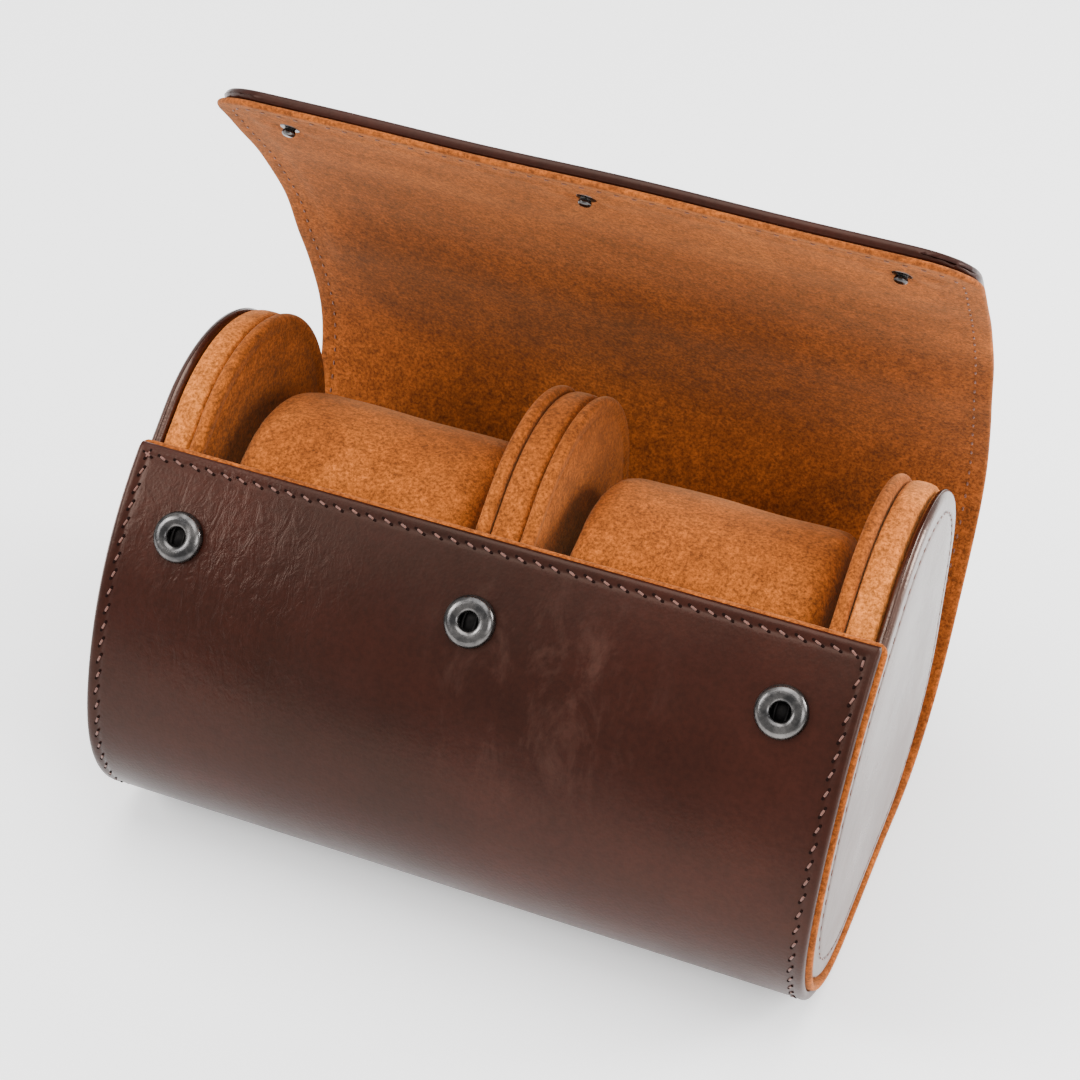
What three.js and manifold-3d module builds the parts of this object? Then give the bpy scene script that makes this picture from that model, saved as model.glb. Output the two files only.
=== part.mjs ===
// A two-slot leather watch roll, shown open. Millimetres, +Z up, X along the roll, -Y to the front.
// The origin is the middle of the flat strip that the roll rests on. Every soft wall is a stack of
// leather, board and suede lining that follows one section: a belt of arcs in the Y-Z plane.
import * as THREE from "three";
import { mergeVertices } from "three/addons/utils/BufferGeometryUtils.js";
import Module from "manifold-3d";

const wasm = await Module();
wasm.setup();

// Driving dimensions of the roll.
const ROLL_LENGTH = 156;
const FRONT_RADIUS = 75; // outer face of the front panel
const FOOT_RADIUS = 31; // outer face where the front panel turns under
const FOOT_CENTRE_Y = -20.3;
const FOOT_TURN_ANGLE = 170; // where the front panel's arc meets the foot's arc
const FRONT_EDGE_ANGLE = 123.3; // where the front panel ends, seen from its arc's centre
const TOP_RADIUS = 32.5; // end caps over the top and round the back
const TOP_ANGLE = 109.77; // direction of the top arc's centre from the front arc's centre
const TOP_INSET = 2.5; // the top arc would end this far inside the front arc
const HEEL_HEIGHT = 5.7; // lowest point of the heel's arc

// Layers of every wall, measured inwards from the outer face.
const LEATHER_THICKNESS = 1.3;
const BOARD_THICKNESS = 0.8;
const LINING_THICKNESS = 1.0;
const LAYER_GAP = 0.2;
const BOARD_INSET = 4; // the board stops short of the stitched edges
const BOARD_DEPTH = LEATHER_THICKNESS + LAYER_GAP;
const LINING_DEPTH = BOARD_DEPTH + BOARD_THICKNESS + LAYER_GAP;
const WALL = LINING_DEPTH + LINING_THICKNESS;

// End caps and divider, listed from the outside of the roll inwards.
const CAP_EDGE_INSET = 0.3; // leather disc behind the end of the wrap
const DISC_THICKNESS = 3;
const BAND_WIDTH = 6.2;
const BAND_THICKNESS = 1.2;
const BAND_INSET = 0.5; // the band lies below the rims beside it
const DIVIDER_BAND_WIDTH = 6.6;
const LIP_THICKNESS = 2.8;
const LIP_ROUND = 1.1;
const CAP_CLEARANCE = 0.4; // caps to the lining that they are glued to
const PIECE_GAP = 0.3;

// The back wall and the lid: four hinged sections of one flexible flap.
const LID_CLEARANCE = 0.8; // closed lid to the caps
const HINGE_Y = 12.7;
const HINGE_Z = 2.3;
const LID_HEEL_HEIGHT = 4.9; // inner face of the closed back wall above the ground
const FIRST_BEND_ANGLE = 51; // seen from the top arc's centre
const SECOND_BEND_ANGLE = 78;
const THIRD_BEND_ANGLE = 126; // seen from the shoulder's centre
const BACK_OPEN_ANGLE = 22;
const BEND_OPEN_ANGLE = 18.5;
const LID_OPEN_ANGLE = 30.5;
const EDGE_OPEN_ANGLE = 25;
const BEND_GAP = 0.6; // each section stops this far from its fold line
const SHOULDER_RADIUS = 20; // closed lid turning down over the front edge
const SHOULDER_ANGLE = 128;
const LID_OVERLAP_EDGE = 12; // stud row to the lid's free edge
const LID_CORNER_RADIUS = 12;

// Press studs: three sockets on the front panel and three studs in the lid.
const SNAP_COUNT = 3;
const SNAP_SPACING = 62.5;
const SNAP_ANGLE = 137; // seen from the front panel's arc centre
const SOCKET_RADIUS = 5.2;
const SOCKET_HEIGHT = 2.2;
const SOCKET_BORE = 1.7;
const SOCKET_MOUTH = 2.6;
const SOCKET_TAIL_RADIUS = 2.8;
const WASHER_RADIUS = 4.4;
const WASHER_THICKNESS = 0.5;
const SPRING_WIRE = 0.35;
const STUD_RADIUS = 1.5;
const STUD_HEIGHT = 1.9;
const SNAP_GAP = 0.6; // lid lining to the sockets' tops when closed
const SNAP_CAP_RADIUS = 6;
const SNAP_CAP_HEIGHT = 1.6;
const POST_RADIUS = 1.2;
const RADIAL_PLAY = 0.3;

// Watch cushions.
const CUSHION_HALF_DEPTH = 34;
const CUSHION_HALF_HEIGHT = 40.4;
const CUSHION_CENTRE_Y = 1;
const CUSHION_LENGTH = 53.6;
const CUSHION_SHIFT = 1.4; // both cushions sit a little to the right of their bays' middles
const CUSHION_COVER = 1.2;
const CUSHION_ROUND = 1;
const CUSHION_LIFT = 0.5; // play between the cushion and the lining below it

const CHORD = 6; // longest side of a faceted arc
const SNAP_SIDES = 20;
const CORNER_SIDES = 6;
const SAME_POINT = 0.05;
const PLAY = 1; // how far a cutting tool stands clear of what it cuts
const DEG = Math.PI / 180;

const leather = { color: 0x44261d, roughness: 0.38, metalness: 0 };
const suede = { color: 0xad6a33, roughness: 0.95, metalness: 0 };
const board = { color: 0x8d7a63, roughness: 0.9, metalness: 0 };
const foam = { color: 0xd9d2c2, roughness: 1, metalness: 0 };
const gunmetal = { color: 0x4f5150, roughness: 0.35, metalness: 1 };

// ---------- sections: belts of arcs in the Y-Z plane ----------

function direction(angle) {
  return new THREE.Vector2(Math.cos(angle * DEG), Math.sin(angle * DEG));
}

function circle(y, z, radius) {
  return { centre: new THREE.Vector2(y, z), radius };
}

// Angle of the outward normal on the line that touches circle a and then circle b, anticlockwise.
function tangentAngle(a, b, after) {
  const between = b.centre.clone().sub(a.centre);
  const ratio = THREE.MathUtils.clamp((a.radius - b.radius) / between.length(), -1, 1);
  const angle = (between.angle() - Math.acos(ratio)) / DEG;
  return after + THREE.MathUtils.euclideanModulo(angle - after, 360);
}

// Points of the belt round the circles, from one normal angle to another, moved out by offset.
function belt(circles, from, to, offset) {
  const points = [];
  let start = from;
  circles.forEach((arc, i) => {
    const next = circles[i + 1];
    const end = next ? tangentAngle(arc, next, start) : to;
    const steps = Math.max(1, Math.ceil(((end - start) * DEG * arc.radius) / CHORD));
    for (let step = 0; step <= steps; step += 1) {
      const angle = start + ((end - start) * step) / steps;
      const point = direction(angle).multiplyScalar(arc.radius + offset).add(arc.centre);
      const last = points.at(-1);
      if (!last || last.distanceTo(point) > SAME_POINT) points.push(point);
    }
    start = end;
  });
  return points;
}

const foot = circle(FOOT_CENTRE_Y, FOOT_RADIUS, FOOT_RADIUS);
const front = circle(0, 0, FRONT_RADIUS);
front.centre.copy(foot.centre).sub(
  direction(FOOT_TURN_ANGLE).multiplyScalar(FRONT_RADIUS - FOOT_RADIUS),
);
const top = circle(0, 0, TOP_RADIUS);
top.centre.copy(front.centre).add(
  direction(TOP_ANGLE).multiplyScalar(FRONT_RADIUS - TOP_RADIUS - TOP_INSET),
);
const heel = circle(top.centre.x, HEEL_HEIGHT + TOP_RADIUS, TOP_RADIUS);

// Outline of the end caps and the divider.
const capInset = WALL + CAP_CLEARANCE;
const capCircles = [
  heel,
  top,
  { centre: front.centre, radius: FRONT_RADIUS - capInset },
  { centre: foot.centre, radius: FOOT_RADIUS - capInset },
];
const capStart = tangentAngle(capCircles.at(-1), heel, 180) - 360;

function capOutline(inset) {
  const points = belt([...capCircles, heel], capStart, capStart + 360, -inset);
  if (points[0].distanceTo(points.at(-1)) < CHORD / 2) points.pop();
  return points;
}

// Inner face of the closed lid: round the heel and the top, then down over the front panel.
const lidTop = { centre: top.centre, radius: TOP_RADIUS + LID_CLEARANCE };
const lidHeel = circle(top.centre.x, LID_HEEL_HEIGHT + lidTop.radius, lidTop.radius);
const lidFront = {
  centre: front.centre,
  radius: FRONT_RADIUS + LAYER_GAP + SOCKET_HEIGHT + SNAP_GAP,
};
const shoulder = {
  centre: direction(SHOULDER_ANGLE)
    .multiplyScalar(lidFront.radius - SHOULDER_RADIUS)
    .add(lidFront.centre),
  radius: SHOULDER_RADIUS,
};
const lidEndAngle = SNAP_ANGLE + LID_OVERLAP_EDGE / lidFront.radius / DEG;
const bendAllowance = BEND_GAP / lidTop.radius / DEG;
const edgeAllowance = BEND_GAP / SHOULDER_RADIUS / DEG;

// ---------- solids ----------

// A shape drawn in Y and Z, extruded along X from one end to the other.
function slab(shape, x0, x1, round = 0) {
  const geometry = new THREE.ExtrudeGeometry(shape, {
    depth: x1 - x0 - 2 * round,
    bevelEnabled: round > 0,
    bevelThickness: round,
    bevelSize: round,
    bevelOffset: -round,
    bevelSegments: 2,
    curveSegments: SNAP_SIDES,
  });
  geometry.translate(0, 0, x0 + round);
  const axes = new THREE.Matrix4().makeBasis(
    new THREE.Vector3(0, 1, 0),
    new THREE.Vector3(0, 0, 1),
    new THREE.Vector3(1, 0, 0),
  );
  return geometry.applyMatrix4(axes);
}

function strip(outer, inner, x0, x1) {
  return slab(new THREE.Shape([...outer, ...inner.toReversed()]), x0, x1);
}

// A turned piece about the local Z axis; its profile is a list of [radius, height] corners.
function turned(profile) {
  const points = profile.map(([radius, height]) => new THREE.Vector2(radius, height));
  const geometry = new THREE.LatheGeometry(points, SNAP_SIDES);
  return geometry.rotateX(Math.PI / 2);
}

function solid(geometry) {
  const plain = geometry.index ? geometry.toNonIndexed() : geometry.clone();
  plain.deleteAttribute("normal");
  plain.deleteAttribute("uv");
  const merged = mergeVertices(plain, 1e-4);
  return new wasm.Manifold(
    new wasm.Mesh({
      numProp: 3,
      vertProperties: new Float32Array(merged.attributes.position.array),
      triVerts: new Uint32Array(merged.index.array),
    }),
  );
}

function geometryOf(manifold) {
  const mesh = manifold.getMesh();
  const geometry = new THREE.BufferGeometry();
  geometry.setAttribute("position", new THREE.BufferAttribute(mesh.vertProperties, 3));
  geometry.setIndex(new THREE.BufferAttribute(mesh.triVerts, 1));
  geometry.computeVertexNormals();
  return geometry;
}

function cut(geometry, tools) {
  return geometryOf(tools.reduce((body, tool) => body.subtract(solid(tool)), solid(geometry)));
}

const roll = new THREE.Group();

function piece(parent, name, geometry, finish) {
  const mesh = new THREE.Mesh(geometry, new THREE.MeshStandardMaterial(finish));
  mesh.name = name;
  parent.add(mesh);
  return mesh;
}

// ---------- press-stud places ----------

const snapPlaces = Array.from(
  { length: SNAP_COUNT },
  (_, i) => (i - (SNAP_COUNT - 1) / 2) * SNAP_SPACING,
);
const snapNames = ["left", "middle", "right"];

// Moves a turned piece from its own axis to a snap's, with its base at a radius from the front arc.
function onFront(geometry, x, radius) {
  const at = direction(SNAP_ANGLE).multiplyScalar(radius).add(front.centre);
  geometry.rotateX((SNAP_ANGLE - 90) * DEG);
  return geometry.translate(x, at.x, at.y);
}

function holesOnFront(radius) {
  const length = 4 * WALL;
  return snapPlaces.map((x) => {
    const drill = new THREE.CylinderGeometry(radius, radius, length, SNAP_SIDES);
    drill.rotateX(Math.PI / 2);
    return onFront(drill, x, FRONT_RADIUS);
  });
}

// ---------- the fixed wrap: front panel and bottom ----------

const half = ROLL_LENGTH / 2;
const wrapEnd = HINGE_Y - BEND_GAP;

function wrapFace(depth, edgeInset) {
  const insetAngle = edgeInset / FRONT_RADIUS / DEG;
  const points = belt([front, foot], FRONT_EDGE_ANGLE + insetAngle, 270, -depth);
  points.push(new THREE.Vector2(wrapEnd - edgeInset, depth));
  return points;
}

function wrapLayer(depth, thickness, inset) {
  const outer = wrapFace(depth, inset);
  const inner = wrapFace(depth + thickness, inset);
  return strip(inner, outer, -half + inset, half - inset);
}

function addWrap(parent) {
  const tailHoles = holesOnFront(SOCKET_TAIL_RADIUS + RADIAL_PLAY);
  const washerHoles = holesOnFront(WASHER_RADIUS + RADIAL_PLAY);
  piece(parent, "body_leather", cut(wrapLayer(0, LEATHER_THICKNESS, 0), tailHoles), leather);
  const stiffener = wrapLayer(BOARD_DEPTH, BOARD_THICKNESS, BOARD_INSET);
  piece(parent, "body_board", cut(stiffener, washerHoles), board);
  piece(parent, "body_lining", wrapLayer(LINING_DEPTH, LINING_THICKNESS, 0), suede);
}

// ---------- end caps and divider ----------

function disc(x0, x1, round, inset = 0) {
  return slab(new THREE.Shape(capOutline(inset)), x0, x1, round);
}

function ring(x0, x1, inset, thickness) {
  const shape = new THREE.Shape(capOutline(inset));
  shape.holes.push(new THREE.Path(capOutline(inset + thickness)));
  return slab(shape, x0, x1);
}

// A drum of core and suede band between two discs, from x towards the inside of the roll.
function addDrum(parent, name, x0, x1) {
  const coreInset = BAND_INSET + BAND_THICKNESS + PIECE_GAP;
  piece(parent, `${name}_core`, disc(x0 + PIECE_GAP, x1 - PIECE_GAP, 0, coreInset), foam);
  const band = ring(x0 + PIECE_GAP, x1 - PIECE_GAP, BAND_INSET, BAND_THICKNESS);
  piece(parent, `${name}_band`, band, suede);
}

const capFaceX = half - CAP_EDGE_INSET;
const capBandX = capFaceX - DISC_THICKNESS;
const capLipX = capBandX - BAND_WIDTH;
const capInnerX = capLipX - LIP_THICKNESS;
const dividerBandX = DIVIDER_BAND_WIDTH / 2;
const dividerFaceX = dividerBandX + LIP_THICKNESS;

function addCap(parent, side, sign) {
  const span = (a, b) => [Math.min(sign * a, sign * b), Math.max(sign * a, sign * b)];
  const name = `cap_${side}`;
  const leatherSpan = span(capBandX, capFaceX);
  const lipSpan = span(capInnerX, capLipX);
  piece(parent, `${name}_leather_disc`, disc(...leatherSpan, LIP_ROUND), leather);
  addDrum(parent, name, ...span(capLipX, capBandX));
  piece(parent, `${name}_inner_face`, disc(...lipSpan, LIP_ROUND), suede);
}

function addDivider(parent) {
  piece(parent, "divider_left_face", disc(-dividerFaceX, -dividerBandX, LIP_ROUND), suede);
  addDrum(parent, "divider", -dividerBandX, dividerBandX);
  piece(parent, "divider_right_face", disc(dividerBandX, dividerFaceX, LIP_ROUND), suede);
}

// ---------- watch cushions ----------

function oval(inset) {
  const shape = new THREE.Shape();
  const halfDepth = CUSHION_HALF_DEPTH - inset;
  const halfHeight = CUSHION_HALF_HEIGHT - inset;
  const centreZ = WALL + CUSHION_LIFT + CUSHION_HALF_HEIGHT;
  shape.absellipse(CUSHION_CENTRE_Y, centreZ, halfDepth, halfHeight, 0, 2 * Math.PI);
  return shape;
}

function addCushion(parent, side, sign) {
  const centre = (sign * (capInnerX + dividerFaceX)) / 2;
  const x0 = centre + CUSHION_SHIFT - CUSHION_LENGTH / 2;
  const x1 = x0 + CUSHION_LENGTH;
  const name = `cushion_${side}`;
  const sleeve = oval(0);
  sleeve.holes.push(new THREE.Path(oval(CUSHION_COVER).getPoints(SNAP_SIDES)));
  const endInset = CUSHION_COVER + PIECE_GAP;
  const plug = oval(endInset);
  piece(parent, `${name}_cover`, slab(sleeve, x0, x1), suede);
  piece(parent, `${name}_left_end`, slab(plug, x0, x0 + CUSHION_COVER), suede);
  piece(parent, `${name}_right_end`, slab(plug, x1 - CUSHION_COVER, x1), suede);
  const filling = slab(plug, x0 + endInset, x1 - endInset, CUSHION_ROUND);
  piece(parent, `${name}_foam`, filling, foam);
}

// ---------- press-stud hardware ----------

// The socket's ring is dished to its bore and its tail goes through the leather.
const socketProfile = [
  [SOCKET_BORE, -BOARD_DEPTH - WASHER_THICKNESS],
  [SOCKET_TAIL_RADIUS, -BOARD_DEPTH - WASHER_THICKNESS],
  [SOCKET_TAIL_RADIUS, LAYER_GAP],
  [SOCKET_RADIUS, LAYER_GAP],
  [SOCKET_RADIUS, SOCKET_HEIGHT * 0.45],
  [SOCKET_RADIUS - 0.5, SOCKET_HEIGHT * 0.85],
  [SOCKET_RADIUS - 1.2, SOCKET_HEIGHT + LAYER_GAP],
  [SOCKET_MOUTH + 0.4, SOCKET_HEIGHT],
  [SOCKET_MOUTH, SOCKET_HEIGHT * 0.75],
  [SOCKET_BORE, SOCKET_HEIGHT * 0.3],
  [SOCKET_BORE, -BOARD_DEPTH - WASHER_THICKNESS],
];

const washerProfile = [
  [SOCKET_TAIL_RADIUS + RADIAL_PLAY, 0],
  [WASHER_RADIUS, 0],
  [WASHER_RADIUS, WASHER_THICKNESS],
  [SOCKET_TAIL_RADIUS + RADIAL_PLAY, WASHER_THICKNESS],
  [SOCKET_TAIL_RADIUS + RADIAL_PLAY, 0],
];

const studProfile = [
  [0, 0],
  [STUD_RADIUS * 0.8, 0],
  [STUD_RADIUS, STUD_HEIGHT * 0.25],
  [STUD_RADIUS * 0.7, STUD_HEIGHT * 0.55],
  [STUD_RADIUS * 0.7, STUD_HEIGHT * 0.75],
  [STUD_RADIUS * 1.3, STUD_HEIGHT * 0.85],
  [STUD_RADIUS * 1.3, STUD_HEIGHT],
  [0, STUD_HEIGHT],
];

const snapCapProfile = [
  [0, 0],
  [POST_RADIUS, 0],
  [POST_RADIUS, WALL + LAYER_GAP],
  [SNAP_CAP_RADIUS, WALL + LAYER_GAP],
  [SNAP_CAP_RADIUS, WALL + LAYER_GAP + SNAP_CAP_HEIGHT * 0.4],
  [SNAP_CAP_RADIUS * 0.85, WALL + LAYER_GAP + SNAP_CAP_HEIGHT * 0.75],
  [SNAP_CAP_RADIUS * 0.5, WALL + LAYER_GAP + SNAP_CAP_HEIGHT * 0.95],
  [0, WALL + LAYER_GAP + SNAP_CAP_HEIGHT],
];

// The wire spring lies in the bore's lower end, as an open ring that grips the stud.
function springRing() {
  const radius = SOCKET_BORE - SPRING_WIRE / 2 - LAYER_GAP / 2;
  const path = new THREE.CatmullRomCurve3(
    Array.from({ length: 13 }, (_, i) => {
      const angle = (30 + i * 25) * DEG;
      return new THREE.Vector3(radius * Math.cos(angle), radius * Math.sin(angle), 0);
    }),
  );
  const wire = new THREE.Shape();
  wire.absarc(0, 0, SPRING_WIRE / 2, 0, 2 * Math.PI);
  return new THREE.ExtrudeGeometry(wire, {
    steps: 14,
    curveSegments: 3,
    extrudePath: path,
    bevelEnabled: false,
  });
}

function addSockets(parent) {
  snapPlaces.forEach((x, i) => {
    const name = `socket_${snapNames[i]}`;
    const washerRadius = FRONT_RADIUS - BOARD_DEPTH - WASHER_THICKNESS;
    piece(parent, name, onFront(turned(socketProfile), x, FRONT_RADIUS), gunmetal);
    const washer = onFront(turned(washerProfile), x, washerRadius);
    piece(parent, `${name}_washer`, washer, gunmetal);
    piece(parent, `${name}_spring`, onFront(springRing(), x, FRONT_RADIUS), gunmetal);
  });
}

function addStuds(parent) {
  snapPlaces.forEach((x, i) => {
    const studBase = lidFront.radius - LAYER_GAP - STUD_HEIGHT;
    const stud = onFront(turned(studProfile), x, studBase);
    piece(parent, `stud_${snapNames[i]}`, stud, gunmetal);
    const cap = onFront(turned(snapCapProfile), x, lidFront.radius);
    piece(parent, `snap_cap_${snapNames[i]}`, cap, gunmetal);
  });
}

// ---------- the flap: back wall, bend and lid, drawn closed and swung open ----------

// A group that turns its contents open about a fold line parallel to X.
function fold(parent, y, z, angle) {
  const pivot = new THREE.Group();
  pivot.position.set(0, y, z);
  pivot.rotation.x = -angle * DEG;
  parent.add(pivot);
  const contents = new THREE.Group();
  contents.position.set(0, -y, -z);
  pivot.add(contents);
  return contents;
}

function foldPoint(arc, angle) {
  return direction(angle).multiplyScalar(arc.radius + WALL / 2).add(arc.centre);
}

// One layer of a flap section between two stations of the closed lid's belt.
function flapLayer(circles, from, to, depth, thickness, inset = 0) {
  const outer = belt(circles, from, to, WALL - depth);
  const inner = belt(circles, from, to, WALL - depth - thickness);
  return strip(outer, inner, -half + inset, half - inset);
}

function addBackWall(parent) {
  const circles = [lidHeel, lidTop];
  const to = FIRST_BEND_ANGLE - bendAllowance;
  const from = (HINGE_Y + BEND_GAP - top.centre.x) / lidHeel.radius / DEG - 90;
  const inset = BOARD_INSET / lidTop.radius / DEG;
  const hide = flapLayer(circles, from, to, 0, LEATHER_THICKNESS);
  piece(parent, "back_leather", hide, leather);
  const lining = flapLayer(circles, from, to, LINING_DEPTH, LINING_THICKNESS);
  piece(parent, "back_lining", lining, suede);
  const stiffener = flapLayer(
    circles,
    from + inset,
    to - inset,
    BOARD_DEPTH,
    BOARD_THICKNESS,
    BOARD_INSET,
  );
  piece(parent, "back_board", stiffener, board);
}

function addBend(parent) {
  const from = FIRST_BEND_ANGLE + bendAllowance;
  const to = SECOND_BEND_ANGLE - bendAllowance;
  piece(parent, "bend_leather", flapLayer([lidTop], from, to, 0, LEATHER_THICKNESS), leather);
  const lining = flapLayer([lidTop], from, to, LINING_DEPTH, LINING_THICKNESS);
  piece(parent, "bend_lining", lining, suede);
}

// Tools that round the lid's two free corners, drawn flat on the lid's closed free edge.
function cornerTools() {
  const normal = direction(lidEndAngle);
  const edge = normal.clone().multiplyScalar(lidFront.radius).add(lidFront.centre);
  const place = new THREE.Matrix4().makeBasis(
    new THREE.Vector3(1, 0, 0),
    new THREE.Vector3(0, -normal.y, normal.x),
    new THREE.Vector3(0, -normal.x, -normal.y),
  );
  place.setPosition(0, edge.x, edge.y);
  return [-1, 1].map((sign) => {
    const shape = new THREE.Shape();
    shape.moveTo(sign * (half + PLAY), PLAY);
    shape.lineTo(sign * (half + PLAY), -LID_CORNER_RADIUS);
    const centre = sign * (half - LID_CORNER_RADIUS);
    const side = sign > 0 ? 0 : Math.PI;
    shape.absarc(centre, -LID_CORNER_RADIUS, LID_CORNER_RADIUS, side, Math.PI / 2, sign < 0);
    shape.lineTo(centre, PLAY);
    const tool = new THREE.ExtrudeGeometry(shape, {
      depth: 4 * WALL,
      bevelEnabled: false,
      curveSegments: CORNER_SIDES,
    });
    return tool.translate(0, 0, -2 * WALL).applyMatrix4(place);
  });
}

// The lid over the top of the roll, as far as its fold at the shoulder.
function lidLayer(depth, thickness, inset) {
  const from = SECOND_BEND_ANGLE + bendAllowance + inset / lidTop.radius / DEG;
  const to = THIRD_BEND_ANGLE - edgeAllowance - inset / SHOULDER_RADIUS / DEG;
  return flapLayer([lidTop, shoulder], from, to, depth, thickness, inset);
}

function addLid(parent) {
  piece(parent, "lid_leather", lidLayer(0, LEATHER_THICKNESS, 0), leather);
  piece(parent, "lid_board", lidLayer(BOARD_DEPTH, BOARD_THICKNESS, BOARD_INSET / 2), board);
  piece(parent, "lid_lining", lidLayer(LINING_DEPTH, LINING_THICKNESS, 0), suede);
}

// The lid's edge, which comes down over the front panel and carries the studs.
function edgeLayer(depth, thickness, inset, tools) {
  const insetAngle = inset / lidFront.radius / DEG;
  const from = THIRD_BEND_ANGLE + edgeAllowance + insetAngle;
  const to = lidEndAngle - insetAngle;
  const circles = from < SHOULDER_ANGLE ? [shoulder, lidFront] : [lidFront];
  return cut(flapLayer(circles, from, to, depth, thickness, inset), tools);
}

function addEdge(parent) {
  const tools = [...cornerTools(), ...holesOnFront(POST_RADIUS + RADIAL_PLAY)];
  piece(parent, "edge_leather", edgeLayer(0, LEATHER_THICKNESS, 0, tools), leather);
  const stiffener = edgeLayer(BOARD_DEPTH, BOARD_THICKNESS, BOARD_INSET, tools);
  piece(parent, "edge_board", stiffener, board);
  piece(parent, "edge_lining", edgeLayer(LINING_DEPTH, LINING_THICKNESS, 0, tools), suede);
}

addWrap(roll);
addCap(roll, "left", -1);
addCap(roll, "right", 1);
addDivider(roll);
addSockets(roll);
addCushion(roll, "left", -1);
addCushion(roll, "right", 1);

const backWall = fold(roll, HINGE_Y, HINGE_Z, BACK_OPEN_ANGLE);
addBackWall(backWall);
const firstFold = foldPoint(lidTop, FIRST_BEND_ANGLE);
const bend = fold(backWall, firstFold.x, firstFold.y, BEND_OPEN_ANGLE);
addBend(bend);
const secondFold = foldPoint(lidTop, SECOND_BEND_ANGLE);
const lid = fold(bend, secondFold.x, secondFold.y, LID_OPEN_ANGLE);
addLid(lid);
const thirdFold = foldPoint(shoulder, THIRD_BEND_ANGLE);
const edge = fold(lid, thirdFold.x, thirdFold.y, EDGE_OPEN_ANGLE);
addEdge(edge);
addStuds(edge);

export default roll;
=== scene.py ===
"""Looks of a two-slot leather watch roll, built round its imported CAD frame.

Sizes are in millimetres until make() turns them into the scene's metres. +Z is up and -Y is the front.
"""

import math

import bmesh
import bpy
import numpy as np
from mathutils import Matrix, Vector


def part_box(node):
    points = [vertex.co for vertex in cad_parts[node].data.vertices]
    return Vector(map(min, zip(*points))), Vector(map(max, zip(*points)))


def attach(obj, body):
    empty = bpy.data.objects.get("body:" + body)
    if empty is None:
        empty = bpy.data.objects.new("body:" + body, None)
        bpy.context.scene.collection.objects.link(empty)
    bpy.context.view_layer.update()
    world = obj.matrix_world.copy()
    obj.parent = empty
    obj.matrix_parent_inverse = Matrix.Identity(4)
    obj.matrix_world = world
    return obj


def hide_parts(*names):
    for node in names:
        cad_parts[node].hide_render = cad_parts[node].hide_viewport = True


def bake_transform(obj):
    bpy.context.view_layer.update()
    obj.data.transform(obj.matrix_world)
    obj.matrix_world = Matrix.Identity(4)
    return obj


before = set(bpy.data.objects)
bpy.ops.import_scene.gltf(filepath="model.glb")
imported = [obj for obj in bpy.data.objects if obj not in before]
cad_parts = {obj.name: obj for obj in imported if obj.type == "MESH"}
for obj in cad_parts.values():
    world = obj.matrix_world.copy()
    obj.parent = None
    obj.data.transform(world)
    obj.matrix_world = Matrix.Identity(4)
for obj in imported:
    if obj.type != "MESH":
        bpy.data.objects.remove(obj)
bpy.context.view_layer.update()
MM = 0.001
rng = np.random.default_rng(7)

# ---------------------------------------------------------------- sizes, in millimetres
ROLL_LENGTH = 156.0
HALF = ROLL_LENGTH / 2
FRONT_RADIUS = 75.0
FOOT_RADIUS = 31.0
FOOT_CENTRE = np.array([-20.3, 31.0])
FOOT_TURN = 170.0
FRONT_EDGE_ANGLE = 123.3
TOP_RADIUS = 32.5
TOP_CENTRE = np.array([9.5, 61.0])
HEEL_CENTRE_Z = 38.2
WALL = 3.5
CAP_CLEARANCE = 0.4
LID_CLEARANCE = 0.8
LID_HEEL_HEIGHT = 4.9
SNAP_ANGLE = 137.0
SNAP_X = (-62.5, 0.0, 62.5)
LID_FRONT_RADIUS = 78.0
SHOULDER_RADIUS = 20.0
SHOULDER_ANGLE = 128.0
LID_OVERLAP_EDGE = 12.0
FOLD_ANGLES = (51.0, 78.0, 126.0)
OPEN_ANGLES = (22.0, 18.5, 30.5, 25.0)
HINGE = np.array([12.7, 2.3])
LEATHER_SHARE = 2.2  # leather's part of the wall's thickness; the lining has the rest
LID_CORNER = 12.0
PANEL_CORNER = 2.2
STITCH_INSET = 3.6
LINING_SHOWS = 1.0  # how far the lining reaches past the leather at the wall's edges
STITCH_PITCH = 3.5


def direction(angle):
    return np.array([math.cos(math.radians(angle)), math.sin(math.radians(angle))])


FRONT_CENTRE = FOOT_CENTRE - direction(FOOT_TURN) * (FRONT_RADIUS - FOOT_RADIUS)


# ---------------------------------------------------------------- sections
def tangent_angle(a, b, after):
    between = b[0] - a[0]
    length = np.linalg.norm(between)
    ratio = max(-1.0, min(1.0, (a[1] - b[1]) / length))
    angle = math.degrees(math.atan2(between[1], between[0]) - math.acos(ratio))
    return after + (angle - after) % 360


def belt(circles, start, stop, offset=0.0, step=0.5):
    """Points of the belt round circles [(centre, radius), ...] from one normal angle to another."""
    points = []
    for i, (centre, radius) in enumerate(circles):
        end = tangent_angle(circles[i], circles[i + 1], start) if i + 1 < len(circles) else stop
        steps = max(1, int(math.radians(end - start) * radius / step))
        for k in range(steps + 1):
            points.append(centre + direction(start + (end - start) * k / steps) * (radius + offset))
        start = end
    return resample(np.array(points), step)


def resample(points, step, closed=False):
    if closed:
        points = np.vstack([points, points[:1]])
    gaps = np.linalg.norm(np.diff(points, axis=0), axis=1)
    keep = np.concatenate([[True], gaps > 1e-6])
    points = points[keep]
    along = np.concatenate([[0], np.cumsum(np.linalg.norm(np.diff(points, axis=0), axis=1))])
    count = max(2, int(round(along[-1] / step)) + 1)
    places = np.linspace(0, along[-1], count)
    out = np.stack([np.interp(places, along, points[:, i]) for i in range(points.shape[1])], 1)
    return out[:-1] if closed else out


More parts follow.
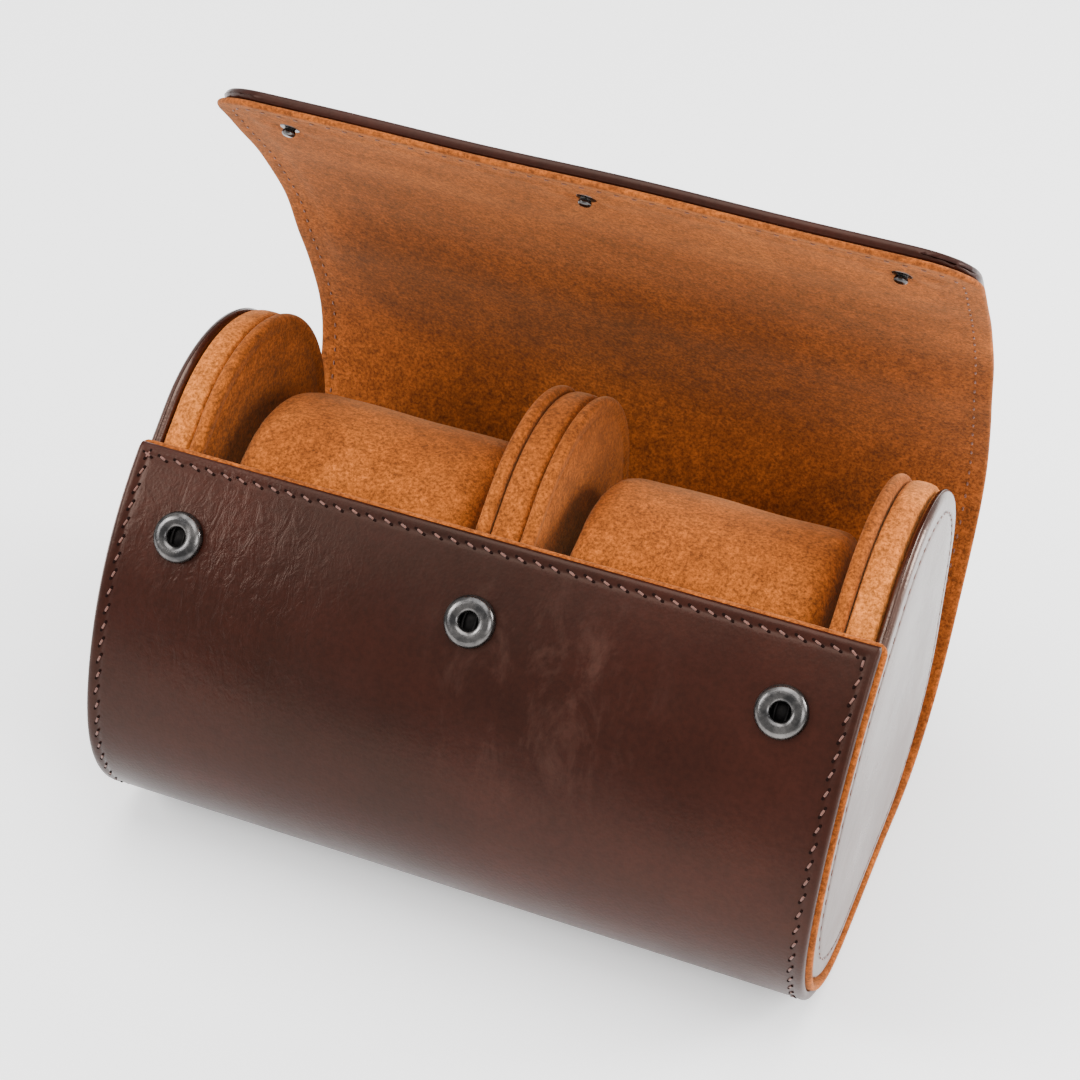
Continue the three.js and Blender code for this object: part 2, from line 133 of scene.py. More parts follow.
def smoothed(points, width):
    """The open line blurred along its length, with its two ends kept in place."""
    pad = 3 * width
    head = 2 * points[0] - points[pad:0:-1]
    tail = 2 * points[-1] - points[-2 : -pad - 2 : -1]
    full = np.vstack([head, points, tail])
    kernel = np.exp(-0.5 * (np.arange(-pad, pad + 1) / width) ** 2)
    kernel /= kernel.sum()
    return np.stack([np.convolve(full[:, i], kernel, "valid") for i in range(2)], 1)


def turned_about(points, pivot, degrees):
    c, s = math.cos(math.radians(degrees)), math.sin(math.radians(degrees))
    return (points - pivot) @ np.array([[c, s], [-s, c]]) + pivot


lid_top = (TOP_CENTRE, TOP_RADIUS + LID_CLEARANCE)
lid_heel_z = LID_HEEL_HEIGHT + TOP_RADIUS + LID_CLEARANCE
lid_heel = (np.array([TOP_CENTRE[0], lid_heel_z]), TOP_RADIUS + LID_CLEARANCE)
shoulder_centre = FRONT_CENTRE + direction(SHOULDER_ANGLE) * (LID_FRONT_RADIUS - SHOULDER_RADIUS)
shoulder = (shoulder_centre, SHOULDER_RADIUS)
lid_front = (FRONT_CENTRE, LID_FRONT_RADIUS)
lid_end = SNAP_ANGLE + math.degrees(LID_OVERLAP_EDGE / LID_FRONT_RADIUS)
MIDDLE = WALL / 2


def fold_point(number):
    """The closed flap's fold line 0, 1 or 2, in the middle of the wall."""
    centre, radius = shoulder if number == 2 else lid_top
    return centre + direction(FOLD_ANGLES[number]) * (radius + MIDDLE)


def opened(points, stage):
    """Closed-flap points of section 1 (back wall), 2 (bend), 3 (lid) or 4 (edge), swung open."""
    for number in range(stage, 1, -1):
        points = turned_about(points, fold_point(number - 2), -OPEN_ANGLES[number - 1])
    return turned_about(points, HINGE, -OPEN_ANGLES[0])


wrap_line = belt([(FRONT_CENTRE, FRONT_RADIUS), (FOOT_CENTRE, FOOT_RADIUS)], FRONT_EDGE_ANGLE, 270, -MIDDLE)
start = math.degrees((HINGE[0] + 0.6 - TOP_CENTRE[0]) / lid_heel[1]) - 90
back_line = opened(belt([lid_heel, lid_top], start, FOLD_ANGLES[0] - 1, MIDDLE), 1)
bend_line = opened(belt([lid_top], FOLD_ANGLES[0] + 1, FOLD_ANGLES[1] - 1, MIDDLE), 2)
lid_line = opened(belt([lid_top, shoulder], FOLD_ANGLES[1] + 1, FOLD_ANGLES[2] - 1, MIDDLE), 3)
edge_line = opened(belt([shoulder, lid_front], FOLD_ANGLES[2] + 1, lid_end, MIDDLE), 4)
section = smoothed(resample(np.vstack([wrap_line, back_line, bend_line, lid_line, edge_line]), 0.5), 10)
FOLDS = [HINGE] + [opened(fold_point(n)[None], n + 1)[0] for n in range(3)]
section_along = np.concatenate([[0], np.cumsum(np.linalg.norm(np.diff(section, axis=0), axis=1))])
SECTION_LENGTH = section_along[-1]


def nearest_along(point):
    return section_along[np.argmin(np.linalg.norm(section - point, axis=1))]


FOLD_ALONG = [nearest_along(p) for p in FOLDS]
ALONG_HINGE = FOLD_ALONG[0]
tangents = np.gradient(section, section_along, axis=0)
tangents /= np.linalg.norm(tangents, axis=1)[:, None]
outwards = np.stack([tangents[:, 1], -tangents[:, 0]], 1)


def on_section(along, offset):
    """Points of the wall's section at the given lengths along it, moved out by offset."""
    at = np.stack([np.interp(along, section_along, section[:, i]) for i in range(2)], -1)
    out = np.stack([np.interp(along, section_along, outwards[:, i]) for i in range(2)], -1)
    out /= np.linalg.norm(out, axis=-1, keepdims=True)
    return at + out * np.asarray(offset)[..., None]


# ---------------------------------------------------------------- materials
class Shader:
    """A material's node tree, with short calls for its nodes."""

    def __init__(self, name):
        self.material = bpy.data.materials.new(name)
        self.material.use_nodes = True
        self.tree = self.material.node_tree
        self.bsdf = self.tree.nodes["Principled BSDF"]

    def node(self, kind, **values):
        made = self.tree.nodes.new(kind)
        for key, value in values.items():
            if key in made.bl_rna.properties:
                setattr(made, key, value)
            else:
                made.inputs[key.replace("_", " ")].default_value = value
        return made

    def link(self, source, target):
        self.tree.links.new(source, target)

    def coordinates(self, scale=(1, 1, 1)):
        place = self.node("ShaderNodeTexCoord")
        mapping = self.node("ShaderNodeMapping")
        mapping.inputs["Scale"].default_value = scale
        self.link(place.outputs["Object"], mapping.inputs["Vector"])
        return mapping.outputs["Vector"]

    def noise(self, scale, detail=4.0, roughness=0.55, stretch=(1, 1, 1), distortion=0.0):
        made = self.node("ShaderNodeTexNoise", Scale=scale, Detail=detail, Roughness=roughness)
        made.inputs["Distortion"].default_value = distortion
        self.link(self.coordinates(stretch), made.inputs["Vector"])
        return made.outputs["Fac"]

    def voronoi(self, scale):
        made = self.node("ShaderNodeTexVoronoi", Scale=scale)
        self.link(self.coordinates(), made.inputs["Vector"])
        return made.outputs["Distance"]

    def patch(self, centre, radius):
        """1 at the centre (metres), falling to 0 at the radius."""
        made = self.node("ShaderNodeTexGradient", gradient_type="SPHERICAL")
        vector = self.coordinates((1 / radius,) * 3)
        vector.node.inputs["Location"].default_value = [-c / radius for c in centre]
        self.link(vector, made.inputs["Vector"])
        return made.outputs["Fac"]

    def ramp(self, source, stops):
        made = self.node("ShaderNodeValToRGB")
        made.color_ramp.elements[0].position, made.color_ramp.elements[1].position = 0.0, 1.0
        for i, (place, value) in enumerate(stops):
            element = made.color_ramp.elements[i] if i < 2 else made.color_ramp.elements.new(place)
            element.position = place
            element.color = (*value, 1) if len(value) == 3 else (value[0],) * 3 + (1,)
        self.link(source, made.inputs["Fac"])
        return made.outputs["Color"]

    def mix(self, blend, factor, a, b):
        made = self.node("ShaderNodeMix", data_type="RGBA", blend_type=blend)
        for socket, value in ((made.inputs[0], factor), (made.inputs[6], a), (made.inputs[7], b)):
            if isinstance(value, bpy.types.NodeSocket):
                self.link(value, socket)
            else:
                socket.default_value = value if isinstance(value, float) else (*value, 1)
        return made.outputs[2]

    def bump(self, source, strength, distance, under=None):
        made = self.node("ShaderNodeBump", Strength=strength, Distance=distance)
        self.link(source, made.inputs["Height"])
        if under is not None:
            self.link(under, made.inputs["Normal"])
        return made.outputs["Normal"]

    def finish(self, **values):
        for key, value in values.items():
            socket = self.bsdf.inputs[key.replace("_", " ")]
            if isinstance(value, bpy.types.NodeSocket):
                self.link(value, socket)
            else:
                socket.default_value = value
        return self.material


def rgb(*values):
    """An sRGB colour in 0-255 as linear light."""
    return tuple(((v / 255 + 0.055) / 1.055) ** 2.4 if v > 10 else v / 255 / 12.92 for v in values)


SNAP_PLACE = FRONT_CENTRE + direction(SNAP_ANGLE) * FRONT_RADIUS
WRINKLED_PLACE = ((SNAP_X[0] + 12) * MM, (SNAP_PLACE[0] - 4) * MM, (SNAP_PLACE[1] - 5) * MM)
SCUFFED_PLACE = ((SNAP_X[1] + 16) * MM, (SNAP_PLACE[0] - 5) * MM, (SNAP_PLACE[1] - 9) * MM)


def leather_material(name, dark, mid, light, roughness, specular=0.2):
    """Waxed leather, wrinkled round one socket and scuffed beside the middle one."""
    s = Shader(name)
    patches = s.ramp(s.noise(14, 5, 0.6), [(0.3, dark), (0.75, light), (0.52, mid)])
    pores = s.ramp(s.noise(900, 3, 0.6), [(0.35, (0.72,)), (0.6, (1.0,))])
    streaks = s.ramp(s.noise(60, 6, 0.7, (0.35, 1, 1), 0.6), [(0.42, (0.88,)), (0.62, (1.06,))])
    colour = s.mix("MULTIPLY", 0.7, s.mix("MULTIPLY", 0.8, patches, pores), streaks)
    scuffs = s.ramp(s.noise(90, 8, 0.75, (1.5, 1, 0.45), 0.6), [(0.50, (0.0,)), (0.68, (1.0,))])
    scuffed = s.ramp(s.patch(SCUFFED_PLACE, 0.034), [(0.1, (0.03,)), (0.6, (1.0,))])
    scuffs = s.mix("MULTIPLY", 1.0, scuffs, scuffed)
    colour = s.mix("MIX", s.mix("MULTIPLY", 1.0, scuffs, (0.07, 0.07, 0.07)), colour, rgb(128, 88, 74))
    shine = s.ramp(s.noise(22, 6, 0.65), [(0.3, (roughness - 0.07,)), (0.75, (roughness + 0.10,))])
    shine = s.mix("ADD", 0.12, shine, scuffs)
    grain = s.bump(s.voronoi(1500), 0.22, 0.00008)
    creases = s.bump(s.noise(420, 5, 0.7, (0.5, 1, 1), 0.8), 0.26, 0.00009, grain)
    waves = s.bump(s.noise(28, 4, 0.55, (1, 1, 1), 0.7), 0.30, 0.0006, creases)
    worn = s.patch(WRINKLED_PLACE, 0.032)
    ridged = s.mix("MULTIPLY", 1.0, s.noise(260, 4, 0.6, (1.6, 0.8, 0.8), 1.0), worn)
    ridges = s.bump(ridged, 0.6, 0.0007, waves)
    wrinkles = s.bump(s.noise(150, 6, 0.7, (1.3, 1, 0.6), 0.5), 0.10, 0.0003, ridges)
    return s.finish(Base_Color=colour, Roughness=shine, Normal=wrinkles, Specular_IOR_Level=specular,
                    Specular_Tint=(1.0, 0.72, 0.58, 1))


def suede_material(name, dark, mid, light, mottle):
    """Short-napped suede; mottle is how strongly its tufts show."""
    s = Shader(name)
    brushed = s.ramp(s.noise(26, 7, 0.68, (1, 1, 1), 1.0), [(0.30, dark), (0.72, light), (0.5, mid)])
    speckle = s.ramp(s.noise(1500, 3, 0.75), [(0.38, (0.34,)), (0.62, (1.45,))])
    tufts = s.ramp(s.noise(420, 6, 0.8, (1, 1, 1), 0.4), [(0.36, (0.55,)), (0.64, (1.25,))])
    colour = s.mix("MULTIPLY", mottle, s.mix("MULTIPLY", 0.75, brushed, speckle), tufts)
    nap = s.bump(s.noise(2200, 3, 0.7), 0.55, 0.00018)
    pile = s.bump(s.noise(420, 5, 0.7), 0.35, 0.0003, nap)
    swells = s.bump(s.noise(50, 3, 0.5), 0.25, 0.0006, pile)
    return s.finish(Base_Color=colour, Roughness=0.96, Normal=swells, Sheen_Weight=0.16,
                    Sheen_Roughness=0.45, Sheen_Tint=(1.0, 0.6, 0.3, 1), Specular_IOR_Level=0.18)


def thread_material(name, colour):
    s = Shader(name)
    ply = s.ramp(s.noise(2600, 2, 0.6), [(0.35, tuple(c * 0.6 for c in colour)), (0.65, colour)])
    twist = s.bump(s.noise(3000, 2), 0.4, 0.0001)
    return s.finish(Base_Color=ply, Roughness=0.6, Normal=twist, Sheen_Weight=0.2)


def metal_material(name, dark, light, roughness):
    s = Shader(name)
    tone = s.ramp(s.noise(260, 4, 0.6), [(0.36, dark), (0.66, light)])
    wear = s.ramp(s.noise(900, 4, 0.7), [(0.3, (roughness - 0.06,)), (0.7, (roughness + 0.12,))])
    scratches = s.bump(s.noise(700, 5, 0.8, (1, 6, 1)), 0.18, 0.00006)
    return s.finish(Base_Color=tone, Roughness=wear, Metallic=1.0, Normal=scratches)


LEATHER = leather_material("leather_outer", rgb(29, 11, 7), rgb(40, 15, 10), rgb(54, 23, 16), 0.33)
CAP_LEATHER = leather_material("leather_cap", rgb(29, 11, 8), rgb(40, 16, 11), rgb(54, 24, 17), 0.27, 0.8)
SUEDE = suede_material("suede_cushion", rgb(116, 57, 13), rgb(142, 72, 18), rgb(162, 86, 27), 0.85)
LINING = suede_material("suede_lining", rgb(114, 56, 14), rgb(138, 69, 19), rgb(158, 83, 27), 0.85)
BAND = suede_material("suede_band", rgb(150, 78, 24), rgb(178, 98, 34), rgb(198, 116, 46), 0.75)
THREAD = thread_material("thread_brown", rgb(104, 58, 42))
TAN_THREAD = thread_material("thread_tan", rgb(104, 56, 26))
# Painted shade: this near-black colour goes on small capsules at each stitch's ends and stands in for the
# shade inside the stitch holes
STITCH_HOLE_SHADE = Shader("stitch_hole_shade").finish(
    Base_Color=(*rgb(20, 9, 7), 1), Roughness=0.95, Specular_IOR_Level=0.05
)
GUNMETAL = metal_material("gunmetal", rgb(58, 57, 57), rgb(104, 101, 99), 0.24)
DARK_METAL = metal_material("dark_metal", rgb(16, 15, 15), rgb(34, 32, 31), 0.5)


# ---------------------------------------------------------------- mesh helpers
def make(name, vertices, faces, material, smooth=True):
    mesh = bpy.data.meshes.new(name)
    mesh.from_pydata([tuple(float(c) * MM for c in v) for v in vertices], [], faces)
    mesh.validate()
    piece = bpy.data.objects.new(name, mesh)
    bpy.context.scene.collection.objects.link(piece)
    mesh.materials.append(material)
    tidy = bmesh.new()
    tidy.from_mesh(mesh)
    bmesh.ops.remove_doubles(tidy, verts=tidy.verts, dist=1e-7)
    bmesh.ops.recalc_face_normals(tidy, faces=tidy.faces)
    tidy.to_mesh(mesh)
    tidy.free()
    if smooth:
        mesh.shade_smooth()
    return piece


EDGE_STEPS = (0.0, 0.12, 0.35, 0.7, 1.2, 1.9, 2.4, 2.8, 3.1, 3.4, 3.8, 4.4)  # from an edge inwards
FAR = 99.0  # stands for no edge on that side


def graded(low, high, step, fine=EDGE_STEPS):
    """Places from low to high, close together at both ends where the edge is rounded."""
    inner = np.linspace(low + fine[-1], high - fine[-1], max(2, int((high - low - 2 * fine[-1]) / step)))
    head = [low + f for f in fine[:-1]]
    tail = [high - f for f in fine[:-1][::-1]]
    return np.concatenate([head, inner, tail])


def half_width(along):
    """Half the wall's width, less where its free corners are rounded."""
    from_panel = np.clip(along, 0, PANEL_CORNER)
    from_lid = np.clip(SECTION_LENGTH - along, 0, LID_CORNER)
    panel = PANEL_CORNER - np.sqrt(PANEL_CORNER**2 - (PANEL_CORNER - from_panel) ** 2)
    lid = LID_CORNER - np.sqrt(LID_CORNER**2 - (LID_CORNER - from_lid) ** 2)
    return HALF - panel - lid


def wave(along, x):
    """A slow hand-made unevenness of the wall, in millimetres, zero along the ground."""
    lift = np.clip((along - ALONG_HINGE) / 40, 0, 1)
    slow = np.sin(x * 0.055 + 0.6) * np.sin(along * 0.045) + 0.5 * np.sin(x * 0.11 + along * 0.02)
    return 0.2 * lift * slow


def wall_piece(name, ends, inner, outer, material, edge_radius, shrink=0.0, relief=None):
    """A layer of the wall between two lengths along its section, with rounded free edges."""
    low, high = ends
    rows = graded(low, high, 1.6 if relief is None else 1.1)
    free_low, free_high = low < 2, high > SECTION_LENGTH - 2
    column_step = 1.7 if relief is None else 1.1
    columns = graded(-1, 1, column_step / HALF, tuple(f / HALF for f in EDGE_STEPS))
    along, u = np.meshgrid(rows, columns, indexing="ij")
    width = half_width(along) - shrink
    x = u * width
    to_side = width - np.abs(x)
    to_low = along - low if free_low else np.full_like(along, FAR)
    to_high = high - along if free_high else np.full_like(along, FAR)
    edge = np.minimum(to_side, np.minimum(to_low, to_high))
    if free_high:
        dx = np.abs(x) - (HALF - shrink - LID_CORNER)
        dy = along - (high - LID_CORNER)
        in_corner = (dx > 0) & (dy > 0)
        edge = np.where(in_corner, np.minimum(edge, LID_CORNER - np.hypot(dx, dy)), edge)
    edge = np.clip(edge, 0, None)
    rise = np.clip(edge / edge_radius, 0, 1)
    shape = np.sqrt(np.clip(1 - (1 - rise) ** 2, 0, 1))
    centre, thick = (inner + outer) / 2, (outer - inner) / 2
    groove = 0.16 * np.exp(-(((edge - STITCH_INSET + shrink) / 0.6) ** 2))
    crown = 0.12 * np.exp(-(((edge - 1.5) / 0.8) ** 2))
    bend = wave(along, x)
    front = centre + thick * shape * (1 + crown) - groove + bend
    rear = centre - thick * shape + bend + groove * 0.6
    if relief is not None:
        rear = rear - relief(along, x, edge)
    rear = np.minimum(rear, front)
    out = on_section(along, front)
    back = on_section(along, rear)
    n, m = along.shape
    vertices = np.concatenate([
        np.stack([x, out[..., 0], out[..., 1]], -1).reshape(-1, 3),
        np.stack([x, back[..., 0], back[..., 1]], -1).reshape(-1, 3),
    ])
    faces = []
    base = n * m
    for i in range(n - 1):
        for j in range(m - 1):
            a, b, c, d = i * m + j, i * m + j + 1, (i + 1) * m + j + 1, (i + 1) * m + j
            faces.append((a, b, c, d))
            faces.append((base + d, base + c, base + b, base + a))
    for j in range(m - 1):
        faces.append((j + 1, j, base + j, base + j + 1))
        k = (n - 1) * m + j
        faces.append((k, k + 1, base + k + 1, base + k))
    for i in range(n - 1):
        a, b = i * m, (i + 1) * m
        faces.append((a, b, base + b, base + a))
        a, b = a + m - 1, b + m - 1
        faces.append((b, a, base + a, base + b))
    piece = make(name, vertices, faces, material)
    piece.data.set_sharp_from_angle(angle=math.radians(55))
    return piece


def tube_faces(rows, count):
    """Quads between rings of count points each."""
    faces = []
    for i in range(rows - 1):
        for k in range(count):
            a, b = i * count + k, i * count + (k + 1) % count
            faces.append((a, b, b + count, a + count))
    return faces


def capsule_mesh(length, width, height, sides=8):
    """A small stitch lying along local x: a rod with rounded ends."""
    points = []
    stations = [(-1.0, 0.0), (-0.86, 0.6), (-0.55, 0.92), (0.0, 1.0), (0.55, 0.92), (0.86, 0.6), (1.0, 0.0)]
    for t, r in stations:
        for k in range(sides):
            a = 2 * math.pi * k / sides
            dip = 1 - 0.35 * abs(t) ** 3
            points.append((t * length / 2, math.cos(a) * width / 2 * r, math.sin(a) * height / 2 * r * dip))
    return np.array(points), tube_faces(len(stations), sides)


STITCH_POINTS, STITCH_FACES = capsule_mesh(1.75, 0.46, 0.42)
HOLE_POINTS, HOLE_FACES = capsule_mesh(0.8, 0.55, 0.3)
DOT_POINTS, DOT_FACES = capsule_mesh(1.1, 0.45, 0.36)


def scatter(name, places, points, faces, material):
    """One mesh of many small copies; each place is (origin, x direction, z direction)."""
    vertices, polygons = [], []
    for origin, along, up in places:
        along = along / np.linalg.norm(along)
        side = np.cross(up, along)
        side /= np.linalg.norm(side)
        up = np.cross(along, side)
        base = len(vertices)
        for p in points:
            vertices.append(origin + along * p[0] + side * p[1] + up * p[2])
        polygons += [tuple(base + i for i in f) for f in faces]
    return make(name, vertices, polygons, material)


def wall_point(along, x, offset):
    y, z = on_section(np.array([along]), np.array([offset + wave(along, x)]))[0]
    return np.array([x, y, z])


def wall_frame(along, x, offset, slope):
    """A place on the wall for a stitch: slope is its direction in (x, along)."""
    p = wall_point(along, x, offset)
    ahead = wall_point(min(along + 0.2, SECTION_LENGTH), x, offset) - wall_point(along - 0.2, x, offset)
    ahead /= np.linalg.norm(ahead)
    across = np.array([1.0, 0, 0])
    up = np.cross(across, ahead)
    return p, across * slope[0] + ahead * slope[1], up


def seam_path():
    """The stitch line round the wall, as (along, x, direction) at each stitch."""
    inset = STITCH_INSET
    line = [(inset, -HALF + inset)]
    line.append((inset, HALF - inset))
    top = SECTION_LENGTH - inset
    radius = LID_CORNER - inset
    line.append((top - radius, HALF - inset))
    for k in range(1, 9):
        a = math.pi / 2 * k / 8
        line.append((top - radius + radius * math.sin(a), HALF - inset - radius + radius * math.cos(a)))
    for k in range(0, 9):
        a = math.pi / 2 * k / 8
        line.append((top - radius + radius * math.cos(a), -HALF + inset + radius - radius * math.sin(a)))
    line.append((inset, -HALF + inset))
    line = np.array(line)
    stations = resample(line, STITCH_PITCH)
    ahead = np.gradient(stations, axis=0)
    return [(s[0], s[1], d / np.linalg.norm(d)) for s, d in zip(stations, ahead)]


SEAM = seam_path()
STITCH_TILT = math.radians(21)
HOLE_REACH = 1.0  # from a stitch's middle to the hole at its end

# ---------------------------------------------------------------- the wall
REGION_NAMES = ("wrap", "bend", "lid", "edge")
FOLD_REACH = (9.0, 6.5, 6.5, 9.0)
cuts = [0.0] + [(a + b) / 2 for a, b in zip(FOLD_ALONG, FOLD_ALONG[1:])] + [SECTION_LENGTH]
REGIONS = list(zip(REGION_NAMES, cuts, cuts[1:]))


def flex(piece, region):
    """Bakes a wall piece's transform into its mesh; its region's fold line is looked up, but the piece is not
    bent.
    """
    number = REGION_NAMES.index(region)
    where, reach = FOLD_ALONG[number], FOLD_REACH[number]
    ahead, behind = on_section(np.array([where + 1.0, where - 1.0]), np.zeros(2))
    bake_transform(piece)


STUD_ALONG = SECTION_LENGTH - LID_OVERLAP_EDGE


def lid_relief(along, x, edge):
    """How far the lid's lining stands in: the board's edge, and puckers beside the studs."""
    board = 0.32 / (1 + np.exp(-(edge - 7.6) / 0.35))
    relief = board * np.clip((along - FOLD_ALONG[1]) / 12, 0, 1)
    for stud in SNAP_X:
        dx, dy = x - stud, along - STUD_ALONG
        relief = relief - 0.5 * np.exp(-((dx / 3.0) ** 2) - (dy / 2.6) ** 2)
        for lean, reach in ((0.10, 6.0), (-0.16, 5.0), (0.32, 4.0)):
            ridge = np.exp(-(((dy - lean * dx) / 0.8) ** 2)) * np.exp(-(((np.abs(dx) - reach) / 2.8) ** 2))
            relief = relief + 0.22 * ridge
    return relief


REPLACED = {
    "wrap": (("body_leather", "body_board", "back_leather", "back_board"), ("body_lining", "back_lining")),
    "bend": (("bend_leather",), ("bend_lining",)),
    "lid": (("lid_leather", "lid_board"), ("lid_lining",)),
    "edge": (("edge_leather", "edge_board"), ("edge_lining",)),
}
OUTER_FACE = WALL / 2
SPLIT = OUTER_FACE - LEATHER_SHARE
for region, low, high in REGIONS:
    hide_ends = (LINING_SHOWS if low == 0 else low, high - 0.3 if high == SECTION_LENGTH else high)
    hide = wall_piece(f"{region}_leather_skin", hide_ends, SPLIT, OUTER_FACE, LEATHER, 0.8, LINING_SHOWS)
    lining = wall_piece(f"{region}_suede_skin", (low, high), -OUTER_FACE, SPLIT, LINING, 0.9,
                        relief=lid_relief if low > ALONG_HINGE else None)
    outer_nodes, inner_nodes = REPLACED[region]
    for piece, nodes, slot in ((hide, outer_nodes, "leather"), (lining, inner_nodes, "suede")):
        flex(piece, region)
        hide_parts(*nodes)
    stitches, hole_shades, dots = [], [], []
    for along, x, ahead in SEAM:
        if not low <= along < high:
            continue
        c, s = math.cos(STITCH_TILT), math.sin(STITCH_TILT)
        slope = (ahead[1] * c - ahead[0] * s, ahead[0] * c + ahead[1] * s)
        wobble = rng.normal(0, 0.06, 2)
        p, d, up = wall_frame(along + wobble[0], x + wobble[1], OUTER_FACE - 0.02, slope)
        stitches.append((p, d, up))
        d_unit = d / np.linalg.norm(d)
        # painted shade for the stitch holes: a dark capsule at each end of the stitch
        for end in (-1, 1):
            hole_shades.append((p + d_unit * end * HOLE_REACH - up / np.linalg.norm(up) * 0.05, d, up))
        p, d, up = wall_frame(along, x, -OUTER_FACE + 0.02, (ahead[1], ahead[0]))
        dots.append((p, d, -up))
    for kind, places, shape, polys, material, slot in (
        ("outer_stitches", stitches, STITCH_POINTS, STITCH_FACES, THREAD, "leather"),
        ("outer_stitch_hole_shades", hole_shades, HOLE_POINTS, HOLE_FACES, STITCH_HOLE_SHADE, "leather"),
        ("inner_stitches", dots, DOT_POINTS, DOT_FACES, TAN_THREAD, "suede"),
    ):
        if places:
            piece = scatter(f"{region}_{kind}", places, shape, polys, material)
            flex(piece, region)


# ---------------------------------------------------------------- end caps and divider
CAP_INSET = WALL + CAP_CLEARANCE
heel = (np.array([TOP_CENTRE[0], HEEL_CENTRE_Z]), TOP_RADIUS)
cap_circles = [
    heel,
    (TOP_CENTRE, TOP_RADIUS),
    (FRONT_CENTRE, FRONT_RADIUS - CAP_INSET),
    (FOOT_CENTRE, FOOT_RADIUS - CAP_INSET),
]
cap_start = tangent_angle(cap_circles[-1], heel, 180) - 360


def cap_outline(step=1.5):
    points = belt(cap_circles + [heel], cap_start, cap_start + 360, 0.0, 0.5)
    return resample(points, step, closed=True)


CAP = cap_outline()
CAP_CENTRE = CAP.mean(0)
around = np.roll(CAP, -1, 0) - np.roll(CAP, 1, 0)
around /= np.linalg.norm(around, axis=1)[:, None]
CAP_NORMAL = np.stack([around[:, 1], -around[:, 0]], 1)
CAP_REACH = np.linalg.norm(CAP - CAP_CENTRE, axis=1)


def cap_ring(inset):
    """The cap's outline moved in, by its normal near the rim and towards the centre further in."""
    if inset <= 8:
        return CAP - CAP_NORMAL * inset
    rim = CAP - CAP_NORMAL * 8
    share = (inset - 8) / (CAP_REACH.mean() - 8)
    return rim + (CAP_CENTRE - rim) * min(1.0, share)


def capped(name, profile, material):
    """A closed piece with the cap's outline; profile is a list of (inset, x)."""
    vertices = []
    for inset, x in profile:
        vertices += [(x, y, z) for y, z in cap_ring(inset)]
    return make(name, vertices, tube_faces(len(profile), len(CAP)), material)


CENTRE_INSET = 1e4  # far enough in to land on the cap's centre
CAP_EDGE_INSET = 0.3
DISC_THICKNESS = 3.0
BAND_WIDTH = 6.2
LIP_THICKNESS = 2.8
DIVIDER_BAND_WIDTH = 6.6
DISC_RIM_SET_BACK = 0.35  # the disc's rim lies this far inside the cap's outer face
DISC_GAP = 0.9  # between the disc's rim and the cap's outline
DISC_ROUND = 1.42
DISC_BULGE = 0.6
DISC_FACE_INSET = 2.5
DISC_STITCH_INSET = 5.2
DISC_STITCH_PITCH = 3.3
LIP_ROUND = 1.35
FACE_INSETS = (CENTRE_INSET, 40, 34, 28, 22, 17, 13, 10, 8, 7, 6.2, 5.6,
               5.1, 4.7, 4.4, 4.1, 3.8, 3.4, 3.0, 2.6)
CAP_FACE_X = HALF - CAP_EDGE_INSET
CAP_BAND_X = CAP_FACE_X - DISC_THICKNESS
CAP_LIP_X = CAP_BAND_X - BAND_WIDTH
CAP_INNER_X = CAP_LIP_X - LIP_THICKNESS
DIVIDER_BAND_X = DIVIDER_BAND_WIDTH / 2
DIVIDER_FACE_X = DIVIDER_BAND_X + LIP_THICKNESS


def rim(x_from, x_to, radius, inset=0.0, steps=7):
    """Half-round rim points from one face's x to the other's."""
    sign = 1 if x_to > x_from else -1
    quarter = [math.pi / 2 * k / steps for k in range(steps + 1)]
    deep = inset + radius
    points = []
    for a in quarter:
        points.append((deep - radius * math.sin(a), x_from + sign * (radius - radius * math.cos(a))))
    for a in quarter:
        points.append((deep - radius * math.cos(a), x_to - sign * (radius - radius * math.sin(a))))
    return points


def disc_profile(sign):
    """The leather disc's section: flat back, rounded rim, sewn groove and domed face."""
    back = sign * (CAP_BAND_X + 0.05)
    front = sign * (CAP_FACE_X - DISC_RIM_SET_BACK)
    face = []
    for inset in FACE_INSETS:
        dome = DISC_BULGE * (1 - math.exp(-(min(inset, 40) - DISC_FACE_INSET) / 7))
        groove = 0.45 * math.exp(-(((inset - DISC_STITCH_INSET) / 0.35) ** 2))
        face.append((inset, front + sign * (dome - groove)))
    return [(CENTRE_INSET, back), (10, back)] + rim(back, front, DISC_ROUND, DISC_GAP) + face[::-1]


def band_profile(start, end, shoulder, waist):
    """A band's section from one x to the other: rounded shoulders and a slightly sunken middle."""
    way = 1 if end > start else -1
    half = [(CENTRE_INSET, 0.0), (8, 0.0), (3, 0.0), (2.2, 0.25), (1.2, 0.5), (0.8, 1.0), (shoulder, 1.9)]
    first = [(inset, start + way * x) for inset, x in half]
    last = [(inset, end - way * x) for inset, x in half[::-1]]
    return first + [(waist, (start + end) / 2)] + last


def pad_profile(back, front):
    """A padded face's section: rounded rim, sewn groove and flat middle."""
    way = 1 if front > back else -1
    sunk = ((2.9, 0.12), (3.4, 0.34), (4.0, 0.36), (5.0, 0.16), (8, 0.1), (14, 0.0), (24, -0.1))
    face = [(inset, front - way * depth) for inset, depth in sunk + ((CENTRE_INSET, -0.1),)]
    return [(CENTRE_INSET, back), (8, back)] + rim(back, front, LIP_ROUND) + face


